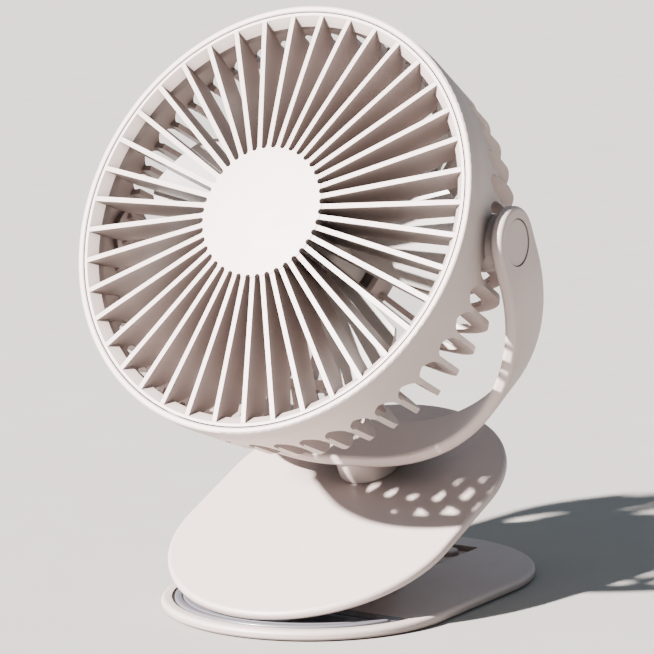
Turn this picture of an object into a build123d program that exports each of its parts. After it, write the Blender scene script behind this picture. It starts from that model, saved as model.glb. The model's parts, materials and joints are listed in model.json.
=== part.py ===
"""Clip-on desk fan: a round fan head in a U-shaped yoke, standing on a sprung two-plate clip.

World frame: origin at the middle of the base's footprint, +Z up, clip mouth towards -Y.
Each group of pieces is drawn in its own frame and placed by a workplane when it is saved:
  JAW   middle of the upper plate's underside, +Y towards the tail, +Z out of the plate
  YOKE  swivel centre on the upper plate, +Z along the swivel axis
  FAN   centre line of the head, in front of the tilt axis, +X along that axis, +Z along the airflow
"""

import os

from build123d import *

# ---------------------------------------------------------------- driving dimensions, mm and degrees
PLATE_WIDTH = 104.0        # both clip plates
PLATE_END = 47.3           # depth of the rounded plate ends
LOWER_LENGTH = 139.0
LOWER_BOTTOM = 0.4         # plate underside, lifted by the mat
LOWER_TOP = 3.6
MAT_TOP = 0.8
PAD_PROUD = 0.7
UPPER_LENGTH = 123.5
UPPER_THICK = 3.2
JAW_ANGLE = 22.7           # slope of the upper plate when the clip is shut
JAW_Y = -5.6
JAW_Z = 28.1

HINGE_Y = -8.0
HINGE_Z = 13.0
PIN_R = 2.0
RUNNING_GAP = 0.05         # radial play of a turning fit
SIDE_GAP = 0.4             # side play between parts that move past each other

TRAY_DEPTH = 11.0          # battery tray hanging under the upper plate
TRAY_WALL = 1.8
TRAY_FRONT = -1.5
TRAY_TAIL = 50.0
TRAY_HALF = 22.0
PORT_Z = -5.6              # height of port, light and button in the tray's tail wall
BUTTON_X = 8.5
BUTTON_R = 3.4

SWIVEL_Y = 22.4            # swivel axis along the upper plate
PAN = 4.3                  # yoke turned on its swivel
PIVOT_HEIGHT = 89.2        # tilt axis above the upper plate
YOKE_HALF = 78.8           # outer half width of the yoke
YOKE_DEPTH = 82.0          # from the tilt axis to the yoke's underside
YOKE_CORNER = 73.0
YOKE_THICK = 4.2
YOKE_WIDTH = 23.0
BOSS_R = 10.8
BOSS_GAP = 0.3
SHAFT_R = 5.0
TILT = 49.3                # airflow above the plane of the upper plate
PIVOT_BACK = 5.5           # tilt axis behind the middle of the head's frame

RIM_R = 72.5               # fan head
RIM_WALL = 2.2
FRONT_Z = 17.5
BACK_Z = -29.0
BAND_REAR = -6.0
BACK_RIBS = 48
BACK_RIB_THICK = 1.8
BACK_RIB_LEAN = 18.0       # rear ribs lean like louvres
BACK_RIB_DEPTH = 5.6
FRONT_RIBS = 40
FRONT_RIB_THICK = 1.6
FRONT_HUB_R = 22.3
GRILLE_R = 70.0
HUB_PROUD = 4.8
BLADES = 7
BLADE_TIP_R = 58.5
ROTOR_R = 15.0
AXLE_R = 1.5

# ---------------------------------------------------------------- frames
JAW = Plane(Pos(0, JAW_Y, JAW_Z) * Rot(JAW_ANGLE, 0, 0))
YOKE = Plane(JAW.location * Pos(0, SWIVEL_Y, UPPER_THICK) * Rot(0, 0, PAN))
FAN = Plane(YOKE.location * Pos(0, 0, PIVOT_HEIGHT) * Rot(90 - TILT, 0, 0) * Pos(0, 0, PIVOT_BACK))
HINGE = JAW.to_local_coords(Vector(0, HINGE_Y, HINGE_Z))     # hinge axis in the jaw frame

os.makedirs("parts", exist_ok=True)


def save(name, piece, frame=Plane.XY):
    """Place a finished piece by its frame and write it as one node."""
    with BuildPart(frame) as placed:
        add(piece.part)
    placed.part.label = name
    export_step(placed.part, f"parts/{name}.step")


def plate_outline(length, inset=0.0):
    """Clip plate seen from above: straight sides and half-ellipse ends."""
    straight = length / 2 - PLATE_END
    with Locations((0, straight), (0, -straight)):
        Ellipse(PLATE_WIDTH / 2 - inset, PLATE_END - inset)
    Rectangle(PLATE_WIDTH - 2 * inset, 2 * straight)


def mouth_pad_outline(length, inset, back):
    """Mouth end of a plate, cut straight across at y = back."""
    plate_outline(length, inset)
    with Locations((0, back)):
        Rectangle(PLATE_WIDTH, length, align=(Align.CENTER, Align.MIN), mode=Mode.SUBTRACT)


# ================================================================ lower jaw, world frame
LUG_INNER = 15.4
LUG_THICK = 4.0
LUG_R = 5.5
PAD_BACK = -34.5
PAD_INSET = 3.6
PAD_POCKET = 0.8
WELL_HALF = 15.0
WELL_FRONT = -20.0
WELL_TAIL = 57.5
WELL_FLOOR = 1.6
RAIL_X = 12.0

with BuildPart() as lower_plate:
    with BuildSketch(Plane.XY.offset(LOWER_BOTTOM)):
        plate_outline(LOWER_LENGTH)
    extrude(amount=LOWER_TOP - LOWER_BOTTOM)
    fillet(lower_plate.faces().sort_by(Axis.Z)[-1].edges(), radius=1.4)
    fillet(lower_plate.faces().sort_by(Axis.Z)[0].edges(), radius=0.9)
    with BuildSketch(Plane.XY.offset(LOWER_BOTTOM)):
        plate_outline(LOWER_LENGTH, inset=5.0)
    extrude(amount=MAT_TOP - LOWER_BOTTOM, mode=Mode.SUBTRACT)
    with BuildSketch(Plane.XY.offset(LOWER_TOP)):
        mouth_pad_outline(LOWER_LENGTH, PAD_INSET, PAD_BACK)
    extrude(amount=-PAD_POCKET, mode=Mode.SUBTRACT)
    with BuildSketch(Plane.XY.offset(LOWER_TOP)):
        with Locations((0, (WELL_FRONT + WELL_TAIL) / 2)):
            RectangleRounded(2 * WELL_HALF, WELL_TAIL - WELL_FRONT, 1.0)
    extrude(amount=WELL_FLOOR - LOWER_TOP, mode=Mode.SUBTRACT)
    with BuildSketch(Plane.XY.offset(WELL_FLOOR)):
        with Locations((RAIL_X, 16), (-RAIL_X, 16)):
            Rectangle(1.2, WELL_TAIL - 14)
    extrude(amount=1.2)
    with BuildSketch(Plane.YZ.offset(LUG_INNER)) as lug:
        with BuildLine():
            Polyline((HINGE_Y - 8, LOWER_TOP), (HINGE_Y + 8, LOWER_TOP),
                     (HINGE_Y + LUG_R, HINGE_Z), (HINGE_Y - LUG_R, HINGE_Z), close=True)
        make_face()
        with Locations((HINGE_Y, HINGE_Z)):
            Circle(LUG_R)
            Circle(PIN_R, mode=Mode.SUBTRACT)
    extrude(amount=LUG_THICK)
    with BuildSketch(Plane.YZ.offset(-LUG_INNER)):
        add(lug.sketch_local)
    extrude(amount=-LUG_THICK)
save("lower_plate", lower_plate)

with BuildPart() as base_mat:
    with BuildSketch():
        plate_outline(LOWER_LENGTH, inset=5.2)
    extrude(amount=MAT_TOP)
    chamfer(base_mat.faces().sort_by(Axis.Z)[0].edges(), length=0.2)
save("base_mat", base_mat)

with BuildPart() as lower_pad:
    with BuildSketch(Plane.XY.offset(LOWER_TOP - PAD_POCKET)):
        mouth_pad_outline(LOWER_LENGTH, PAD_INSET + 0.2, PAD_BACK - 0.2)
    extrude(amount=PAD_POCKET + PAD_PROUD)
    fillet(lower_pad.faces().sort_by(Axis.Z)[-1].edges(), radius=0.5)
save("lower_pad", lower_pad)

with BuildPart() as spring_seat:
    with BuildSketch(Plane.XY.offset(WELL_FLOOR)):
        with Locations((0, 51)):
            SlotOverall(20, 7)
    extrude(amount=1.9)
    fillet(spring_seat.faces().sort_by(Axis.Z)[-1].edges(), radius=0.8)
save("spring_seat", spring_seat)

PIN_HALF = LUG_INNER + LUG_THICK
PIN_HEAD_R = 3.4
with BuildPart() as hinge_pin:
    with BuildSketch(Plane.YZ.offset(-PIN_HALF - 1.8)):
        with Locations((HINGE_Y, HINGE_Z)):
            Circle(PIN_R)
    extrude(amount=2 * PIN_HALF + 1.8)
    with BuildSketch(Plane.YZ.offset(PIN_HALF)):
        with Locations((HINGE_Y, HINGE_Z)):
            Circle(PIN_HEAD_R)
    extrude(amount=1.2)
    fillet(hinge_pin.faces().sort_by(Axis.X)[-1].edges(), radius=0.4)
save("hinge_pin", hinge_pin)

with BuildPart() as hinge_clip:
    with BuildSketch(Plane.YZ.offset(-PIN_HALF)):
        with Locations((HINGE_Y, HINGE_Z)):
            Circle(PIN_HEAD_R)
            Circle(PIN_R, mode=Mode.SUBTRACT)
    extrude(amount=-0.9)
save("hinge_clip", hinge_clip)

WIRE_R = 0.8
COIL_R = 3.7
COIL_TURNS = 11
COIL_PITCH = 1.5
COIL_HALF = (COIL_TURNS - 1) * COIL_PITCH / 2
with BuildPart() as torsion_spring:
    with BuildSketch(Plane.XY.offset(HINGE_Z)):
        with Locations((0, HINGE_Y + COIL_R)):
            with GridLocations(COIL_PITCH, 0, COIL_TURNS, 1):
                Circle(WIRE_R)
    revolve(axis=Axis((0, HINGE_Y, HINGE_Z), (1, 0, 0)))
    with BuildLine() as floor_leg:
        Line((COIL_HALF, HINGE_Y, HINGE_Z - COIL_R), (COIL_HALF, 40, WELL_FLOOR + 2 * WIRE_R))
    with BuildSketch(Plane(floor_leg.edges()[0] @ 0, z_dir=floor_leg.edges()[0] % 0)):
        Circle(WIRE_R)
    sweep()
    with BuildSketch(JAW.offset(HINGE.Z)):
        with Locations((-COIL_HALF, HINGE.Y - COIL_R)):
            Circle(WIRE_R)
    extrude(amount=-HINGE.Z - 2.2)
save("torsion_spring", torsion_spring)

# ================================================================ upper jaw, jaw frame
EAR_THICK = 4.4
EAR_INNER = LUG_INNER - SIDE_GAP - EAR_THICK
EAR_R = 5.2
BOSS_LENGTH = 3.0          # screw bosses under the plate
SCREW_POINTS = [(-16.4, 4), (16.4, 4), (-16.4, 44.6), (16.4, 44.6)]
BUSH_R = 6.5
TRAY_FLOOR = TRAY_WALL - TRAY_DEPTH
SCREW_HEAD_Z = 0.2 - TRAY_DEPTH

with BuildPart() as upper_plate:
    with BuildSketch():
        plate_outline(UPPER_LENGTH)
    extrude(amount=UPPER_THICK)
    fillet(upper_plate.faces().sort_by(Axis.Z)[-1].edges(), radius=1.4)
    fillet(upper_plate.faces().sort_by(Axis.Z)[0].edges(), radius=1.0)
    with BuildSketch():
        with Locations((0, SWIVEL_Y)):
            Circle(BUSH_R)
    extrude(amount=UPPER_THICK, mode=Mode.SUBTRACT)
    with BuildSketch():
        with Locations(*SCREW_POINTS):
            Circle(2.6)
    extrude(amount=-BOSS_LENGTH)
    with BuildSketch(Plane.XY.offset(-BOSS_LENGTH)):
        with Locations(*SCREW_POINTS):
            Circle(1.1)
    extrude(amount=BOSS_LENGTH + 1.5, mode=Mode.SUBTRACT)
save("upper_plate", upper_plate, JAW)

with BuildPart() as upper_pad:
    with BuildSketch(Plane.XY.offset(-1.0)):
        mouth_pad_outline(UPPER_LENGTH, 8.0, -30.0)
    extrude(amount=1.0)
    fillet(upper_pad.faces().sort_by(Axis.Z)[0].edges(), radius=0.4)
save("upper_pad", upper_pad, JAW)

TRAY_Y = (TRAY_FRONT + TRAY_TAIL) / 2
TRAY_LENGTH = TRAY_TAIL - TRAY_FRONT
with BuildPart() as jaw_tray:
    with BuildSketch(Plane.XY.offset(-TRAY_DEPTH)):
        with Locations((0, TRAY_Y)):
            RectangleRounded(2 * TRAY_HALF, TRAY_LENGTH, 7)
    extrude(amount=TRAY_DEPTH)
    fillet(jaw_tray.faces().sort_by(Axis.Z)[0].edges(), radius=1.6)
    with BuildSketch(Plane.XY.offset(TRAY_FLOOR)):
        with Locations((0, TRAY_Y)):
            RectangleRounded(2 * (TRAY_HALF - TRAY_WALL), TRAY_LENGTH - 2 * TRAY_WALL, 7 - TRAY_WALL)
    extrude(amount=-TRAY_FLOOR, mode=Mode.SUBTRACT)
    # screw posts, meeting the bosses of the upper plate
    with BuildSketch(Plane.XY.offset(TRAY_FLOOR)):
        with Locations(*SCREW_POINTS):
            Circle(2.6)
    extrude(amount=-BOSS_LENGTH - TRAY_FLOOR)
    with Locations(*[(x, y, -TRAY_DEPTH) for x, y in SCREW_POINTS]):
        Cylinder(2.4, 1.6, align=(Align.CENTER, Align.CENTER, Align.MIN), mode=Mode.SUBTRACT)
        Cylinder(1.3, TRAY_DEPTH, align=(Align.CENTER, Align.CENTER, Align.MIN), mode=Mode.SUBTRACT)
    # hinge ears on a flange in front of the tray
    with BuildSketch(Plane.YZ):
        with Locations((TRAY_FRONT + 1, 0)):
            Rectangle(16, TRAY_WALL, align=(Align.MAX, Align.MAX))
    extrude(amount=EAR_INNER + EAR_THICK, both=True)
    for side in (1, -1):
        with BuildSketch(Plane.YZ.offset(side * EAR_INNER)):
            with BuildLine():
                Polyline((TRAY_FRONT - 15, 0), (TRAY_FRONT + 0.5, 0), (TRAY_FRONT + 0.5, -6),
                         (HINGE.Y + EAR_R - 0.4, HINGE.Z), (HINGE.Y - EAR_R, HINGE.Z), close=True)
            make_face()
            with Locations((HINGE.Y, HINGE.Z)):
                Circle(EAR_R)
                Circle(PIN_R + RUNNING_GAP, mode=Mode.SUBTRACT)
        extrude(amount=side * EAR_THICK)
    # openings of the tail wall
    with BuildSketch(Plane.XZ.offset(-TRAY_TAIL)):
        with Locations((-BUTTON_X, PORT_Z)):
            SlotOverall(9.6, 3.8)
        with Locations((0, PORT_Z)):
            Circle(1.1)
        with Locations((BUTTON_X, PORT_Z)):
            Circle(BUTTON_R + 0.3)
    extrude(amount=2 * TRAY_WALL, mode=Mode.SUBTRACT)
save("jaw_tray", jaw_tray, JAW)

with BuildPart() as tray_screws:
    with BuildSketch(Plane.XY.offset(SCREW_HEAD_Z)):
        with Locations(*SCREW_POINTS):
            Circle(2.1)
    extrude(amount=1.3)
    with BuildSketch(Plane.XY.offset(SCREW_HEAD_Z)):
        with Locations(*SCREW_POINTS):
            Circle(1.05)
    extrude(amount=TRAY_DEPTH + 0.6)
    with BuildSketch(Plane.XY.offset(SCREW_HEAD_Z)):
        with Locations(*SCREW_POINTS):
            RegularPolygon(1.0, 6)
    extrude(amount=0.9, mode=Mode.SUBTRACT)
save("tray_screws", tray_screws, JAW)

with BuildPart() as battery:
    with Locations((0, 21.6, TRAY_FLOOR)):
        Box(36, 28, 4.8, align=(Align.CENTER, Align.CENTER, Align.MIN))
    fillet(battery.edges().filter_by(Axis.Y), radius=2.2)
save("battery", battery, JAW)

BOARD_TOP = TRAY_FLOOR + 1.2
with BuildPart() as control_board:
    with BuildSketch(Plane.XY.offset(TRAY_FLOOR)):
        with Locations((0, 41.4)):
            RectangleRounded(26, 9.6, 1)
    extrude(amount=BOARD_TOP - TRAY_FLOOR)
    with Locations((-1, 39.5, BOARD_TOP), (2, 44, BOARD_TOP), (-7, 39, BOARD_TOP)):
        Box(3.4, 3.4, 1.2, align=(Align.CENTER, Align.CENTER, Align.MIN))
    with Locations((BUTTON_X, 43.5, BOARD_TOP)):
        Box(6, 5, 3.4, align=(Align.CENTER, Align.CENTER, Align.MIN))
save("control_board", control_board, JAW)

with BuildPart() as charge_port:
    with BuildSketch(Plane.XZ.offset(-TRAY_TAIL + 0.4)):
        with Locations((-BUTTON_X, PORT_Z)):
            SlotOverall(9.0, 3.2)
    extrude(amount=7.4)
    with BuildSketch(Plane.XZ.offset(-TRAY_TAIL + 0.4)):
        with Locations((-BUTTON_X, PORT_Z)):
            SlotOverall(8.4, 2.6)
            Rectangle(6.2, 0.7, mode=Mode.SUBTRACT)
    extrude(amount=6.4, mode=Mode.SUBTRACT)
    with Locations((-BUTTON_X, TRAY_TAIL - 5, BOARD_TOP)):
        Box(6, 5, 1.0, align=(Align.CENTER, Align.CENTER, Align.MIN))
save("charge_port", charge_port, JAW)

with BuildPart() as charge_light:
    with BuildSketch(Plane.XZ.offset(-TRAY_TAIL - 0.1)):
        with Locations((0, PORT_Z)):
            Circle(1.0)
    extrude(amount=4.6)
    fillet(charge_light.faces().sort_by(Axis.Y)[-1].edges(), radius=0.3)
save("charge_light", charge_light, JAW)

with BuildPart() as power_button:
    with BuildSketch(Plane.XZ.offset(-TRAY_TAIL - 1.0)):
        with Locations((BUTTON_X, PORT_Z)):
            Circle(BUTTON_R)
    extrude(amount=4.0)
    with BuildSketch(Plane.XZ.offset(-TRAY_TAIL + TRAY_WALL + 0.3)):
        with Locations((BUTTON_X, PORT_Z)):
            RectangleRounded(8.6, 4.6, 0.8)
    extrude(amount=0.7)
    fillet(power_button.faces().sort_by(Axis.Y)[-1].edges(), radius=0.6)
save("power_button", power_button, JAW)

with BuildPart() as swivel_bush:
    with BuildSketch(Plane.XY.offset(-1.0)):
        with Locations((0, SWIVEL_Y)):
            Circle(8.0)
    extrude(amount=1.0)
    with BuildSketch():
        with Locations((0, SWIVEL_Y)):
            Circle(BUSH_R)
    extrude(amount=UPPER_THICK)
    with BuildSketch(Plane.XY.offset(-1.0)):
        with Locations((0, SWIVEL_Y)):
            Circle(SHAFT_R + RUNNING_GAP)
    extrude(amount=UPPER_THICK + 1.0, mode=Mode.SUBTRACT)
save("swivel_bush", swivel_bush, JAW)

# ================================================================ yoke, yoke frame
SHAFT_END = -UPPER_THICK - 1.25
WASHER_THICK = 1.2
YOKE_IN = YOKE_HALF - YOKE_THICK
FLANGE_FACE = YOKE_IN + 1.4        # bottom of the screw pocket in each arm
CAP_FLOOR = YOKE_IN + 2.6          # bottom of the cap pocket
CAP_POCKET_R = 7.6
STUB_R = 4.5

with BuildPart() as yoke:
    with BuildSketch(Plane.XZ):
        with Locations((0, PIVOT_HEIGHT)):
            RectangleRounded(2 * YOKE_HALF, 2 * YOKE_DEPTH, YOKE_CORNER)
            RectangleRounded(2 * YOKE_IN, 2 * (YOKE_DEPTH - YOKE_THICK), YOKE_CORNER - YOKE_THICK,
                             mode=Mode.SUBTRACT)
    extrude(amount=YOKE_WIDTH / 2, both=True)
    with BuildSketch(Plane.YZ):
        with Locations((0, PIVOT_HEIGHT)):
            Circle(YOKE_WIDTH / 2)
            Rectangle(YOKE_WIDTH, 2 * YOKE_DEPTH, align=(Align.CENTER, Align.MAX))
    extrude(amount=YOKE_HALF, both=True, mode=Mode.INTERSECT)
    fillet(yoke.edges(), radius=1.5)
    with BuildSketch(Plane.XY.offset(BOSS_GAP)):
        Circle(BOSS_R)
    extrude(amount=PIVOT_HEIGHT - YOKE_DEPTH + 2.5)
    with BuildSketch(Plane.XY.offset(BOSS_GAP)):
        Circle(SHAFT_R)
    extrude(amount=SHAFT_END - BOSS_GAP)
    with BuildSketch(Plane.XY.offset(SHAFT_END)):
        Circle(1.5)
    extrude(amount=9.0, mode=Mode.SUBTRACT)
    for side in (1, -1):
        for face_x, radius in ((CAP_FLOOR, CAP_POCKET_R), (FLANGE_FACE, 6.4),
                               (YOKE_IN - 1, STUB_R + RUNNING_GAP)):
            with BuildSketch(Plane.YZ.offset(side * face_x)):
                with Locations((0, PIVOT_HEIGHT)):
                    Circle(radius)
            extrude(amount=side * YOKE_THICK, mode=Mode.SUBTRACT)
save("yoke", yoke, YOKE)

with BuildPart() as swivel_washer:
    with BuildSketch(Plane.XY.offset(SHAFT_END)):
        Circle(9.0)
        Circle(1.6, mode=Mode.SUBTRACT)
    extrude(amount=-WASHER_THICK)
save("swivel_washer", swivel_washer, YOKE)

with BuildPart() as swivel_screw:
    with BuildSketch(Plane.XY.offset(SHAFT_END - WASHER_THICK)):
        Circle(3.0)
    extrude(amount=-1.4)
    fillet(swivel_screw.faces().sort_by(Axis.Z)[0].edges(), radius=0.5)
    with BuildSketch(Plane.XY.offset(SHAFT_END - WASHER_THICK)):
        Circle(1.45)
    extrude(amount=WASHER_THICK + 8.5)
    with BuildSketch(Plane.XY.offset(SHAFT_END - WASHER_THICK - 1.4)):
        RegularPolygon(1.3, 6)
    extrude(amount=1.0, mode=Mode.SUBTRACT)
save("swivel_screw", swivel_screw, YOKE)

for side, side_name in ((1, "right"), (-1, "left")):
    with BuildPart() as pivot_cap:
        with BuildSketch(Plane.YZ.offset(side * CAP_FLOOR)):
            with Locations((0, PIVOT_HEIGHT)):
                Circle(CAP_POCKET_R - 0.25)
        extrude(amount=side * 1.3)
        fillet(pivot_cap.faces().sort_by(Axis.X)[-1 if side > 0 else 0].edges(), radius=0.25)
    save(f"pivot_cap_{side_name}", pivot_cap, YOKE)

# ================================================================ fan head, fan frame
LEDGE_Z = 12.2                     # seat of the front grille inside the rim
BAND_SLOPE = 1.6 / 17.0            # taper of the side wall
BAND_KNEE = 11.0                   # the rim is straight in front of this
BACK_HUB_R = 24.0
BACK_RING_R = 44.0
PIVOT_FACE = 73.7                  # outer face of the tilt bosses
MOTOR_SEAT = -22.3


def wall_r(z):
    """Outer radius of the tapered side wall."""
    return RIM_R - BAND_SLOPE * (BAND_KNEE - z)


rib_plane = Plane(Pos(70, 0, 0) * Rot(0, 0, BACK_RIB_LEAN) * Pos(-70, 0, 0) * Plane.XZ.location)
rib_out = wall_r(BACK_Z) - 0.3
rib_top = wall_r(0) - 0.3
rib_end = BACK_RING_R - 3
with BuildPart() as back_rib:
    with BuildSketch(rib_plane) as rib_face:
        with BuildLine():
            Polyline((rib_end, BACK_Z), (rib_out, BACK_Z), (rib_top, 0), (rib_top - BACK_RIB_DEPTH, 0),
                     (rib_out - BACK_RIB_DEPTH, BACK_Z + 4.5), (rib_end, BACK_Z + 4.5), close=True)
        make_face()
        fillet(rib_face.vertices().group_by(Axis.Y)[0].sort_by(Axis.X)[-1], radius=13)
        fillet(rib_face.vertices().group_by(Axis.Y)[1].sort_by(Axis.X)[-1], radius=8)
    extrude(amount=BACK_RIB_THICK / 2, both=True)

with BuildPart() as long_rib:
    with Locations((BACK_HUB_R - 1, 0, BACK_Z)):
        Box(BACK_RING_R - BACK_HUB_R + 1, BACK_RIB_THICK, 4,
            align=(Align.MIN, Align.CENTER, Align.MIN))

with BuildPart() as notch:
    with BuildSketch(Plane.YZ.offset(60)):
        with BuildLine():
            Polyline((3.7, -4.0), (3.7, -20), (-3.7, -20), (-3.7, -4.0))
            ThreePointArc((3.7, -4.0), (2.55, -0.7), (0, 1.7))
            ThreePointArc((0, 1.7), (-2.55, -0.7), (-3.7, -4.0))
        make_face()
    extrude(amount=20)

with BuildPart() as fan_housing:
    with BuildSketch(Plane.XZ):
        with BuildLine():
            Polyline((RIM_R - RIM_WALL, FRONT_Z), (RIM_R, FRONT_Z), (RIM_R, BAND_KNEE),
                     (wall_r(BAND_REAR), BAND_REAR), (wall_r(BAND_REAR) - 2.2, BAND_REAR), (69.6, 9.8),
                     (67.4, 9.8), (67.4, LEDGE_Z), (RIM_R - RIM_WALL, LEDGE_Z), close=True)
        make_face()
    revolve(axis=Axis.Z)
    fillet(fan_housing.faces().sort_by(Axis.Z)[-1].edges(), radius=0.7)
    with PolarLocations(0, BACK_RIBS):
        add(notch.part, mode=Mode.SUBTRACT)
    with PolarLocations(0, BACK_RIBS, start_angle=180 / BACK_RIBS):
        add(back_rib.part)
    with PolarLocations(0, BACK_RIBS // 2):
        add(long_rib.part)
    with BuildSketch(Plane.XY.offset(BACK_Z)):
        Circle(BACK_RING_R + 1.5)
        Circle(BACK_RING_R - 1.5, mode=Mode.SUBTRACT)
    extrude(amount=5)
    with BuildSketch(Plane.XY.offset(BACK_Z)):
        Circle(BACK_HUB_R)
    extrude(amount=MOTOR_SEAT - BACK_Z)
    with BuildSketch(Plane.XY.offset(MOTOR_SEAT)):
        Circle(BACK_HUB_R)
        Circle(BACK_HUB_R - 2, mode=Mode.SUBTRACT)
    extrude(amount=2.8)
    # pocket of the rear cap and the motor screw holes
    with BuildSketch(Plane.XY.offset(BACK_Z)):
        Circle(18.2)
    extrude(amount=1.4, mode=Mode.SUBTRACT)
    with BuildSketch(Plane.XY.offset(BACK_Z)):
        with PolarLocations(9, 3):
            Circle(2.4)
    extrude(amount=2.7, mode=Mode.SUBTRACT)
    with BuildSketch(Plane.XY.offset(BACK_Z)):
        with PolarLocations(9, 3):
            Circle(1.2)
    extrude(amount=MOTOR_SEAT - BACK_Z + 1, mode=Mode.SUBTRACT)
    # tilt bosses with their stubs
    for side in (1, -1):
        with BuildSketch(Plane.YZ.offset(side * PIVOT_FACE)):
            with Locations((0, -PIVOT_BACK)):
                Circle(8.2)
        extrude(amount=-side * 6.6, taper=-12)
        with BuildSketch(Plane.YZ.offset(side * PIVOT_FACE)):
            with Locations((0, -PIVOT_BACK)):
                Circle(STUB_R)
        extrude(amount=side * (FLANGE_FACE + 0.1 - PIVOT_FACE))
        with BuildSketch(Plane.YZ.offset(side * (FLANGE_FACE + 0.1))):
            with Locations((0, -PIVOT_BACK)):
                Circle(1.5)
        extrude(amount=-side * 8, mode=Mode.SUBTRACT)
save("fan_housing", fan_housing, FAN)

for side, side_name in ((1, "right"), (-1, "left")):
    with BuildPart() as pivot_screw:
        with BuildSketch(Plane.YZ.offset(side * (FLANGE_FACE + 0.1))):
            with Locations((0, -PIVOT_BACK)):
                Circle(5.6)
        extrude(amount=side * 1.0)
        with BuildSketch(Plane.YZ.offset(side * (FLANGE_FACE + 0.1))):
            with Locations((0, -PIVOT_BACK)):
                Circle(1.45)
        extrude(amount=-side * 7.6)
    save(f"pivot_screw_{side_name}", pivot_screw, FAN)

# front grille: bevelled ring, slightly domed hub and straight deep ribs
RING_FACE = FRONT_Z - 0.3
HUB_EDGE_Z = FRONT_Z + HUB_PROUD
RIB_REAR = 6.8
with BuildPart() as front_rib:
    with BuildSketch(Plane.XZ):
        with BuildLine():
            Polyline((FRONT_HUB_R - 2, HUB_EDGE_Z), (GRILLE_R - 1.0, RING_FACE), (GRILLE_R - 1.0, LEDGE_Z),
                     (GRILLE_R - 2.9, LEDGE_Z), (GRILLE_R - 7.5, RIB_REAR), (FRONT_HUB_R - 2, RIB_REAR),
                     close=True)
        make_face()
    extrude(amount=FRONT_RIB_THICK / 2, both=True)

with BuildPart() as front_grille:
    with BuildSketch(Plane.XZ):
        with BuildLine():
            Polyline((GRILLE_R, LEDGE_Z), (GRILLE_R, RING_FACE), (GRILLE_R - 0.9, RING_FACE),
                     (GRILLE_R - 3.6, RING_FACE - 2.8), (GRILLE_R - 3.6, LEDGE_Z), close=True)
        make_face()
        with BuildLine():
            hub_front = ThreePointArc((0, HUB_EDGE_Z + 0.5), (FRONT_HUB_R / 2, HUB_EDGE_Z + 0.38),
                                      (FRONT_HUB_R, HUB_EDGE_Z))
            Polyline(hub_front @ 1, (FRONT_HUB_R, HUB_EDGE_Z - 3.5), (FRONT_HUB_R - 2, HUB_EDGE_Z - 3.5),
                     (FRONT_HUB_R - 2, HUB_EDGE_Z - 2.2), (0, HUB_EDGE_Z - 2.2), hub_front @ 0)
        make_face()
    revolve(axis=Axis.Z)
    with BuildSketch(Plane.XY.offset(HUB_EDGE_Z - 5)):
        with PolarLocations(FRONT_HUB_R, FRONT_RIBS):
            Circle(0.93)
    extrude(amount=8, mode=Mode.SUBTRACT)
    with PolarLocations(0, FRONT_RIBS, start_angle=180 / FRONT_RIBS):
        add(front_rib.part)
save("front_grille", front_grille, FAN)

with BuildPart() as rear_cap:
    with BuildSketch(Plane.XY.offset(BACK_Z + 1.4)):
        Circle(18.0)
    extrude(amount=-1.9)
    fillet(rear_cap.faces().sort_by(Axis.Z)[0].edges(), radius=0.8)
save("rear_cap", rear_cap, FAN)

# motor: base with bearing tube, stator, rotor can and axle
TUBE_R = 5.2
BEARING_R = 4.0
STATOR_Z = -19.5
STATOR_THICK = 8.0
with BuildPart() as motor_base:
    with BuildSketch(Plane.XY.offset(MOTOR_SEAT)):
        Circle(12.5)
        Circle(AXLE_R + 0.4, mode=Mode.SUBTRACT)
        with PolarLocations(9, 3):
            Circle(1.1, mode=Mode.SUBTRACT)
    extrude(amount=1.5)
    with BuildSketch(Plane.XY.offset(MOTOR_SEAT + 1.5)):
        Circle(TUBE_R)
        Circle(BEARING_R, mode=Mode.SUBTRACT)
    extrude(amount=11.9)
save("motor_base", motor_base, FAN)

with BuildPart() as motor_screws:
    with BuildSketch(Plane.XY.offset(BACK_Z + 2.7)):
        with PolarLocations(9, 3):
            Circle(2.1)
    extrude(amount=-1.2)
    with BuildSketch(Plane.XY.offset(BACK_Z + 2.7)):
        with PolarLocations(9, 3):
            Circle(1.05)
    extrude(amount=MOTOR_SEAT + 1.4 - BACK_Z - 2.7)
save("motor_screws", motor_screws, FAN)

for name, bearing_z in (("bearing_rear", MOTOR_SEAT + 1.6), ("bearing_front", MOTOR_SEAT + 10.3)):
    with BuildPart() as bearing:
        with BuildSketch(Plane.XY.offset(bearing_z)):
            Circle(BEARING_R)
            Circle(AXLE_R + 0.02, mode=Mode.SUBTRACT)
        extrude(amount=3.0)
        chamfer(bearing.edges().filter_by(GeomType.CIRCLE).group_by(SortBy.RADIUS)[-1], length=0.2)
    save(name, bearing, FAN)

TEETH = 9
with BuildPart() as stator_core:
    with BuildSketch(Plane.XY.offset(STATOR_Z)):
        Circle(7.2)
        with PolarLocations(9, TEETH):
            Rectangle(6, 1.8)
        with PolarLocations(0, TEETH):
            with BuildLine(mode=Mode.PRIVATE) as shoe_line:
                shoe = CenterArc((0, 0), 11.5, -15, 30)
            SlotArc(shoe, 1.0)
        Circle(TUBE_R, mode=Mode.SUBTRACT)
    extrude(amount=STATOR_THICK)
save("stator_core", stator_core, FAN)

with BuildPart() as stator_windings:
    with BuildSketch(Plane.XY.offset(STATOR_Z - 0.7)):
        with PolarLocations(9.2, TEETH):
            RectangleRounded(2.6, 3.9, 0.5)
    extrude(amount=STATOR_THICK + 1.4)
    with BuildSketch(Plane.XY.offset(STATOR_Z)):
        with PolarLocations(9.2, TEETH):
            Rectangle(2.8, 1.8)
    extrude(amount=STATOR_THICK, mode=Mode.SUBTRACT)
save("stator_windings", stator_windings, FAN)

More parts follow.
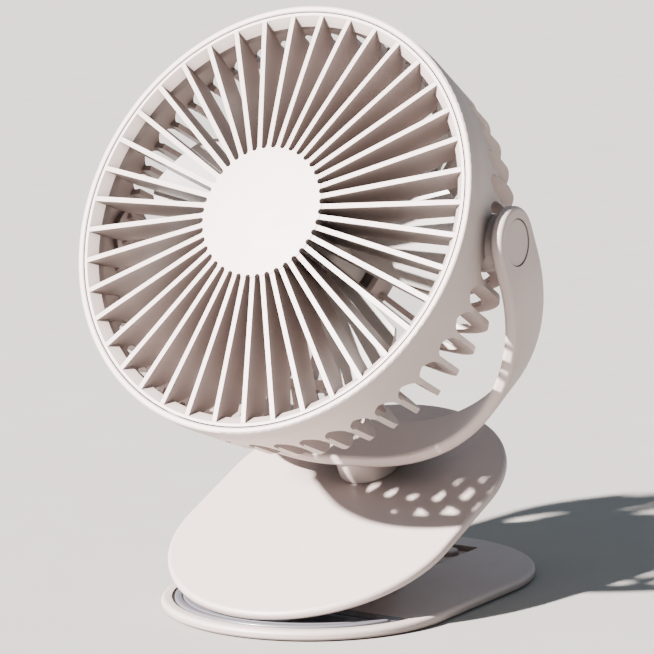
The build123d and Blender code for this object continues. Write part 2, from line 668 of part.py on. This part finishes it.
CAN_TOP = -7.6
with BuildPart() as rotor_can:
    with BuildSketch(Plane.XY.offset(CAN_TOP)):
        Circle(ROTOR_R)
        Circle(AXLE_R, mode=Mode.SUBTRACT)
    extrude(amount=-1.0)
    with BuildSketch(Plane.XY.offset(CAN_TOP - 1.0)):
        Circle(ROTOR_R)
        Circle(ROTOR_R - 1, mode=Mode.SUBTRACT)
    extrude(amount=-11.4)
save("rotor_can", rotor_can, FAN)

with BuildPart() as rotor_magnets:
    with BuildSketch(Plane.XY.offset(STATOR_Z)):
        Circle(ROTOR_R - 1)
        Circle(ROTOR_R - 2.2, mode=Mode.SUBTRACT)
    extrude(amount=STATOR_THICK)
save("rotor_magnets", rotor_magnets, FAN)

with BuildPart() as motor_shaft:
    with BuildSketch(Plane.XY.offset(MOTOR_SEAT + 0.3)):
        Circle(AXLE_R)
    extrude(amount=25.0)
save("motor_shaft", motor_shaft, FAN)

# impeller: thin cupped blades on a hollow hub that is pressed over the rotor can
HUB_TOP = 2.0
HUB_R = 19.0
HUB_REAR = -18.6
BLADE_Z = -5.0
BLADE_THICK = 1.5
SECTIONS = ((16.8, 17.0, 46.0), (36.0, 27.0, 33.0), (60.0, 36.0, 24.0))    # radius, chord, pitch
with BuildPart() as blade:
    for radius, chord, pitch in SECTIONS:
        with BuildSketch(Plane(origin=(radius, 0, BLADE_Z), x_dir=(0, 1, 0), z_dir=(1, 0, 0))):
            with BuildLine(mode=Mode.PRIVATE) as camber:
                ThreePointArc((-chord / 2, 0), (0, chord * 0.09), (chord / 2, 0))
            SlotArc(camber.edges()[0], BLADE_THICK, rotation=pitch)
    loft()
    with BuildSketch(Plane.XY.offset(BLADE_Z - 15)) as petal:
        with BuildLine():
            Polyline((16.8, -8), (BLADE_TIP_R, -19), (BLADE_TIP_R, 19), (16.8, 8), close=True)
        make_face()
        fillet(petal.vertices().sort_by(Axis.X)[-2:], radius=9)
    extrude(amount=30, mode=Mode.INTERSECT)

with BuildPart() as impeller:
    with BuildSketch(Plane.XZ):
        with BuildLine():
            dome = ThreePointArc((0, HUB_TOP + 2.0), (HUB_R * 0.45, HUB_TOP + 1.5), (HUB_R - 3, HUB_TOP))
            shoulder = TangentArc(dome @ 1, (HUB_R, HUB_TOP - 3.5), tangent=dome % 1)
            Polyline(shoulder @ 1, (HUB_R, HUB_REAR), (HUB_R - 1.6, HUB_REAR), (HUB_R - 1.6, -4.4),
                     (0, -4.4), dome @ 0)
        make_face()
    revolve(axis=Axis.Z)
    with BuildSketch(Plane.XY.offset(-4.4)):
        Circle(ROTOR_R + 1.3)
        Circle(ROTOR_R, mode=Mode.SUBTRACT)
    extrude(amount=-9)
    with BuildSketch(Plane.XY.offset(-4.4)):
        Circle(3.2)
    extrude(amount=CAN_TOP + 4.4)
    with PolarLocations(0, BLADES):
        add(blade.part)
    with BuildSketch(Plane.XY.offset(HUB_REAR)):
        Circle(HUB_R - 1.6)
        Circle(ROTOR_R + 1.3, mode=Mode.SUBTRACT)
    extrude(amount=-HUB_REAR - 4.4, mode=Mode.SUBTRACT)
    with BuildSketch(Plane.XY.offset(CAN_TOP)):
        Circle(AXLE_R)
    extrude(amount=10.8, mode=Mode.SUBTRACT)
save("impeller", impeller, FAN)

# ---------------------------------------------------------------- joint lines for the record
print("hinge axis through", (0, HINGE_Y, HINGE_Z))
print("tilt axis through", FAN.from_local_coords(Vector(0, 0, -PIVOT_BACK)))
for label, frame in (("jaw", JAW), ("yoke", YOKE), ("fan", FAN)):
    print(label, "origin", frame.origin, "x", frame.x_dir, "y", frame.y_dir, "z", frame.z_dir)
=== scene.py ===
import json
import math

import bmesh
import bpy
from mathutils import Matrix, Vector


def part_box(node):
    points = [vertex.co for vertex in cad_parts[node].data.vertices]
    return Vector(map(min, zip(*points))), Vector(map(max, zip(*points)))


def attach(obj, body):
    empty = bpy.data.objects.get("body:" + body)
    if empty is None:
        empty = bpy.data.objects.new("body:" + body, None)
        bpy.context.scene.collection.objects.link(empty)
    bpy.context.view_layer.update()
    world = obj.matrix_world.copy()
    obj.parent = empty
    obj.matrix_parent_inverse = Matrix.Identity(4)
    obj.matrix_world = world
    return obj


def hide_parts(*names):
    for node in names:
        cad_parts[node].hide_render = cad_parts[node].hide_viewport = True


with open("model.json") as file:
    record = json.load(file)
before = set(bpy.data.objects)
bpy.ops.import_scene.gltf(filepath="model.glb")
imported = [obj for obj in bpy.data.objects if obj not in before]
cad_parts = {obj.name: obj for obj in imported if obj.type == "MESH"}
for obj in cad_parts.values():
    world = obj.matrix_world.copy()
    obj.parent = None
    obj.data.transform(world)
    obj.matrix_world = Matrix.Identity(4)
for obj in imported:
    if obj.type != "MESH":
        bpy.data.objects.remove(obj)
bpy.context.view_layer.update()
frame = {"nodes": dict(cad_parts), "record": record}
NODES = frame["nodes"]
RECORD = frame["record"]


# ---------------------------------------------------------------- materials
CLOUDINESS = 0.03       # share by which a plastic's tone wanders
GRAIN = 1900            # cells of spark-eroded grain to the metre
# painted shade: within this reach of a recess the base colour is darkened to stand in for shade
PAINTED_SHADE_REACH = 0.012    # metres over which a recess darkens


def principled(name, base, rough, metal=0.0, coat=0.0, subsurface=0.0):
    """A material with its constant values set on the shader's own sockets."""
    mat = bpy.data.materials.new(name)
    mat.use_nodes = True
    tree = mat.node_tree
    shader = tree.nodes["Principled BSDF"]
    shader.inputs["Base Color"].default_value = (*base, 1.0)
    shader.inputs["Roughness"].default_value = rough
    shader.inputs["Metallic"].default_value = metal
    shader.inputs["Coat Weight"].default_value = coat
    shader.inputs["Coat Roughness"].default_value = 0.12
    shader.inputs["Subsurface Weight"].default_value = subsurface
    shader.inputs["Subsurface Radius"].default_value = (0.004, 0.002, 0.0015)
    shader.inputs["Subsurface Scale"].default_value = 0.4
    return mat, tree, shader


def object_coords(tree, scale=(1, 1, 1)):
    """The object's own coordinates in metres, times a scale."""
    coords = tree.nodes.new("ShaderNodeTexCoord")
    mapping = tree.nodes.new("ShaderNodeMapping")
    mapping.inputs["Scale"].default_value = scale
    tree.links.new(coords.outputs["Object"], mapping.inputs["Vector"])
    return mapping.outputs["Vector"]


def noise(tree, vector, scale, detail=4.0, rough=0.55):
    """Cloudy noise with about scale cells to the metre."""
    node = tree.nodes.new("ShaderNodeTexNoise")
    node.inputs["Scale"].default_value = scale
    node.inputs["Detail"].default_value = detail
    node.inputs["Roughness"].default_value = rough
    tree.links.new(vector, node.inputs["Vector"])
    return node.outputs["Fac"]


def ramp(tree, fac, stops):
    """Colours blended between stops, which are (position, colour) pairs."""
    node = tree.nodes.new("ShaderNodeValToRGB")
    items = node.color_ramp.elements
    while len(items) < len(stops):
        items.new(0.5)
    for item, (at, colour) in zip(items, stops):
        item.position = at
        item.color = (*colour, 1.0)
    tree.links.new(fac, node.inputs["Fac"])
    return node.outputs["Color"]


def span(tree, fac, low, high):
    """A factor of 0 to 1 stretched to run from low to high."""
    node = tree.nodes.new("ShaderNodeMapRange")
    node.inputs["To Min"].default_value = low
    node.inputs["To Max"].default_value = high
    tree.links.new(fac, node.inputs["Value"])
    return node.outputs["Result"]


def bump(tree, shader, height, strength, distance, after=None):
    """Relief from a height, on top of an earlier relief when there is one."""
    node = tree.nodes.new("ShaderNodeBump")
    node.inputs["Strength"].default_value = strength
    node.inputs["Distance"].default_value = distance
    tree.links.new(height, node.inputs["Height"])
    if after is not None:
        tree.links.new(after, node.inputs["Normal"])
    tree.links.new(node.outputs["Normal"], shader.inputs["Normal"])
    return node.outputs["Normal"]


def painted_recess_shade(tree, colour, dark):
    """Darken a colour with painted shade in recesses, where ambient occlusion finds the surface hemmed in."""
    open_air = tree.nodes.new("ShaderNodeAmbientOcclusion")
    open_air.samples = 6
    open_air.inputs["Distance"].default_value = PAINTED_SHADE_REACH
    tone = ramp(tree, open_air.outputs["AO"], [(0.30, dark), (0.85, (1.0, 1.0, 1.0))])
    mix = tree.nodes.new("ShaderNodeMix")
    mix.data_type = "RGBA"
    mix.blend_type = "MULTIPLY"
    mix.inputs[0].default_value = 1.0
    tree.links.new(colour, mix.inputs[6])
    tree.links.new(tone, mix.inputs[7])
    return mix.outputs[2]


def moulded(name, base, rough=0.45, depth=0.00002, dark=None):
    """Moulded plastic: fine spark-eroded grain, faint cloudy tone, a slightly uneven gloss, and painted shade
    in recesses when dark is given.
    """
    mat, tree, shader = principled(name, base, rough)
    at = object_coords(tree)
    cloud = noise(tree, at, 28, 3)
    low = tuple(c * (1 - CLOUDINESS) for c in base)
    high = tuple(c * (1 + CLOUDINESS * 0.6) for c in base)
    colour = ramp(tree, cloud, [(0.3, low), (0.7, high)])
    # painted shade: recesses are darkened towards the dark tone
    if dark is not None:
        colour = painted_recess_shade(tree, colour, dark)
    tree.links.new(colour, shader.inputs["Base Color"])
    fine = noise(tree, at, GRAIN, 2, 0.6)
    gloss = noise(tree, at, 130, 5)
    tree.links.new(span(tree, gloss, rough - 0.06, rough + 0.08), shader.inputs["Roughness"])
    smooth = bump(tree, shader, noise(tree, at, 60, 2), 0.08, 0.0004)
    bump(tree, shader, fine, 0.25, depth, after=smooth)
    return mat


def silicone(name, base):
    """Soft rubber with a faint skin gloss."""
    mat, tree, shader = principled(name, base, 0.32, coat=0.25, subsurface=0.05)
    at = object_coords(tree)
    low = tuple(c * 0.95 for c in base)
    tree.links.new(ramp(tree, noise(tree, at, 45, 3), [(0.3, low), (0.7, base)]), shader.inputs["Base Color"])
    tree.links.new(span(tree, noise(tree, at, 220, 4), 0.26, 0.42), shader.inputs["Roughness"])
    bump(tree, shader, noise(tree, at, 900, 3), 0.15, 0.00003)
    return mat


def metal(name, base, rough=0.28, streaks=(900, 40, 40), depth=0.00001):
    """Drawn or turned metal with fine streaks."""
    mat, tree, shader = principled(name, base, rough, metal=1.0)
    at = object_coords(tree, streaks)
    line = noise(tree, at, 1.0, 6, 0.7)
    low = tuple(c * 0.86 for c in base)
    tree.links.new(ramp(tree, line, [(0.35, low), (0.65, base)]), shader.inputs["Base Color"])
    tree.links.new(span(tree, line, rough - 0.08, rough + 0.14), shader.inputs["Roughness"])
    bump(tree, shader, line, 0.2, depth)
    return mat


# dark is the tone of the painted shade in each plastic's recesses
SHELL = moulded("shell_plastic", (0.445, 0.368, 0.342), dark=(0.37, 0.35, 0.34))
BLADE = moulded("fan_plastic", (0.44, 0.415, 0.395), rough=0.38, dark=(0.5, 0.48, 0.46))
DARK = moulded("dark_plastic", (0.03, 0.03, 0.033), rough=0.5)
PAD = silicone("pad_silicone", (0.12, 0.115, 0.13))
MAT = silicone("mat_rubber", (0.30, 0.31, 0.33))
STEEL = metal("zinc_steel", (0.62, 0.62, 0.63))
WIRE = metal("spring_wire", (0.22, 0.22, 0.23), 0.35)
CORE = metal("core_sheet", (0.30, 0.31, 0.33), 0.4, (20, 20, 2600), 0.00006)
COPPER = metal("winding_wire", (0.75, 0.30, 0.13), 0.25, (60, 2600, 60), 0.00008)
FERRITE = moulded("ferrite", (0.05, 0.05, 0.055), rough=0.6)
BOARD = moulded("board_mask", (0.02, 0.12, 0.06), rough=0.3)
CELL = metal("cell_foil", (0.62, 0.63, 0.66), 0.4, (120, 120, 120), 0.00004)
PORT = metal("port_plating", (0.72, 0.72, 0.74), 0.2)
LIGHT = silicone("light_guide", (0.80, 0.83, 0.78))
BY_SLOT = {
    "shell": SHELL, "fan_plastic": BLADE, "pad": PAD, "mat": MAT, "dark_plastic": DARK, "steel": STEEL,
    "spring_steel": WIRE, "core_steel": CORE, "copper": COPPER, "magnet": FERRITE, "circuit_board": BOARD,
    "cell": CELL, "port_metal": PORT, "light_guide": LIGHT,
}
for part in RECORD["subparts"]:
    data = NODES[part["node"]].data
    data.materials.clear()
    data.materials.append(BY_SLOT[part["material_slot"]])

# ---------------------------------------------------------------- soft mouth pad with its rolled, grooved rim
PLATE_THICK = 0.0032    # the lower plate that the pad is set into
PAD_ROUND = 0.9025      # the rounded front's reach, as a share of the pad's half width
SHELF_BACK = 0.0052     # how far the raised rim stops short of the pad's back edge
FRONT_POINTS = 120
BACK_POINTS = 24


def pad_ring(half, reach, mid_y, back, inset, z):
    """One closed ring of the pad's outline, moved in by inset: an elliptical front and a straight back."""
    a, b, cut = half - inset, reach - inset, back - inset
    start = math.asin(max(-1.0, min(1.0, (mid_y - cut) / b)))
    ring = []
    for i in range(FRONT_POINTS):
        t = start + (math.pi - 2 * start) * i / (FRONT_POINTS - 1)
        ring.append((a * math.cos(t), mid_y - b * math.sin(t), z))
    left, right = ring[-1], ring[0]
    for i in range(1, BACK_POINTS):
        k = i / BACK_POINTS
        ring.append((left[0] + (right[0] - left[0]) * k, left[1] + (right[1] - left[1]) * k, z))
    return ring


def add_shell(mesh, rings):
    """Quads between successive rings, closed by a face at each end."""
    rows = [[mesh.verts.new(p) for p in ring] for ring in rings]
    for low, high in zip(rows, rows[1:]):
        for i in range(len(low)):
            j = (i + 1) % len(low)
            mesh.faces.new((low[i], low[j], high[j], high[i]))
    mesh.faces.new(list(reversed(rows[0])))
    mesh.faces.new(rows[-1])


def mouth_pad():
    """The slab in the plate's recess, and on it the rolled rim with its groove."""
    low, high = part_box("lower_pad")
    plate_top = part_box("lower_plate")[0][2] + PLATE_THICK
    half, top = high[0], high[2]
    reach = half * PAD_ROUND
    mid_y = low[1] + reach
    # each pair is how far the ring is moved in, and its height
    slab = [(0.0, low[2]), (0.0, plate_top - 0.00005), (0.0002, plate_top)]
    side = [(0.0, plate_top - 0.0004), (0.0, top - 0.00045)]
    shoulder = [(0.00012, top - 0.0002), (0.00035, top - 0.00006)]
    crest = [(0.0007, top), (0.0021, top), (0.00235, top - 0.00008)]
    groove = [(0.0025, top - 0.00032), (0.0028, top - 0.00036), (0.0031, top - 0.00032)]
    inner = [(0.00325, top - 0.00008), (0.0035, top - 0.00002), (0.006, top - 0.00002)]
    roll = side + shoulder + crest + groove + inner
    work = bmesh.new()
    add_shell(work, [pad_ring(half, reach, mid_y, high[1], inset, z) for inset, z in slab])
    add_shell(work, [pad_ring(half, reach, mid_y, high[1] - SHELF_BACK, inset, z) for inset, z in roll])
    bmesh.ops.recalc_face_normals(work, faces=work.faces)
    for face in work.faces:
        face.smooth = len(face.verts) == 4
    pad = bpy.data.objects.new("mouth_pad", bpy.data.meshes.new("mouth_pad"))
    bpy.context.scene.collection.objects.link(pad)
    work.to_mesh(pad.data)
    work.free()
    pad.data.materials.append(PAD)
    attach(pad, "base")
    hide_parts("lower_pad")


mouth_pad()


# ---------------------------------------------------------------- floor, light and camera
FLOOR_HALF = 12.0
AIM_HEIGHT = 0.08           # the height that the lamps point at
CAMERA_AZIMUTH = 35.2019    # degrees round from the front
CAMERA_ELEVATION = 9.4925
CAMERA_ROLL = -1.8799
CAMERA_PLACE = (0.58206, -0.83393, 0.25992)
CAMERA_LENS = 170.505


def studio_floor():
    floor = bpy.data.objects.new("studio_floor", bpy.data.meshes.new("studio_floor"))
    bpy.context.scene.collection.objects.link(floor)
    grid = bmesh.new()
    bmesh.ops.create_grid(grid, x_segments=1, y_segments=1, size=FLOOR_HALF)
    grid.to_mesh(floor.data)
    grid.free()
    floor.data.materials.append(moulded("studio_paper", (0.305, 0.292, 0.272), rough=0.9, depth=0.00001))


def sky():
    """A dim bluish light from all round, which fills the shade."""
    world = bpy.data.worlds.new("studio")
    world.use_nodes = True
    background = world.node_tree.nodes["Background"]
    background.inputs["Color"].default_value = (0.72, 0.85, 1.0, 1)
    background.inputs["Strength"].default_value = 0.43
    bpy.context.scene.world = world


def direction(azimuth, elevation):
    """The unit vector towards a place seen at an azimuth from the front and an elevation, in degrees."""
    a, e = math.radians(azimuth), math.radians(elevation)
    return Vector((math.sin(a) * math.cos(e), -math.cos(a) * math.cos(e), math.sin(e)))


def lamp(name, kind, azimuth, elevation, distance, energy, colour, size):
    """A lamp aimed at the object. Its size is degrees across for a sun, and metres across otherwise."""
    data = bpy.data.lights.new(name, kind)
    data.energy = energy
    data.color = colour
    if kind == "SUN":
        data.angle = math.radians(size)
    else:
        data.size = size
    obj = bpy.data.objects.new(name, data)
    bpy.context.scene.collection.objects.link(obj)
    away = direction(azimuth, elevation)
    obj.location = away * distance + Vector((0, 0, AIM_HEIGHT))
    obj.rotation_mode = "QUATERNION"
    obj.rotation_quaternion = (-away).to_track_quat("-Z", "Y")


def main_camera():
    camera = bpy.data.objects.new("camera", bpy.data.cameras.new("camera"))
    bpy.context.scene.collection.objects.link(camera)
    camera.data.sensor_width = 36.0
    camera.data.lens = CAMERA_LENS
    camera.data.clip_start, camera.data.clip_end = 0.1, 50.0
    turn, roll = math.radians(CAMERA_AZIMUTH), math.radians(CAMERA_ROLL)
    back = direction(CAMERA_AZIMUTH, CAMERA_ELEVATION)
    level = Vector((math.cos(turn), math.sin(turn), 0))
    rise = back.cross(level)
    right = math.cos(roll) * level + math.sin(roll) * rise
    up = math.cos(roll) * rise - math.sin(roll) * level
    axes = Matrix((right, up, back)).transposed().to_4x4()
    camera.matrix_world = Matrix.Translation(CAMERA_PLACE) @ axes
    bpy.context.scene.camera = camera


studio_floor()
sky()
lamp("key", "SUN", -25.5, 31.6, 2, 36.0, (1.0, 0.95, 0.925), 2.0)
lamp("fill", "AREA", 70, 35, 1.6, 0.8, (0.93, 0.96, 1.0), 1.2)
main_camera()
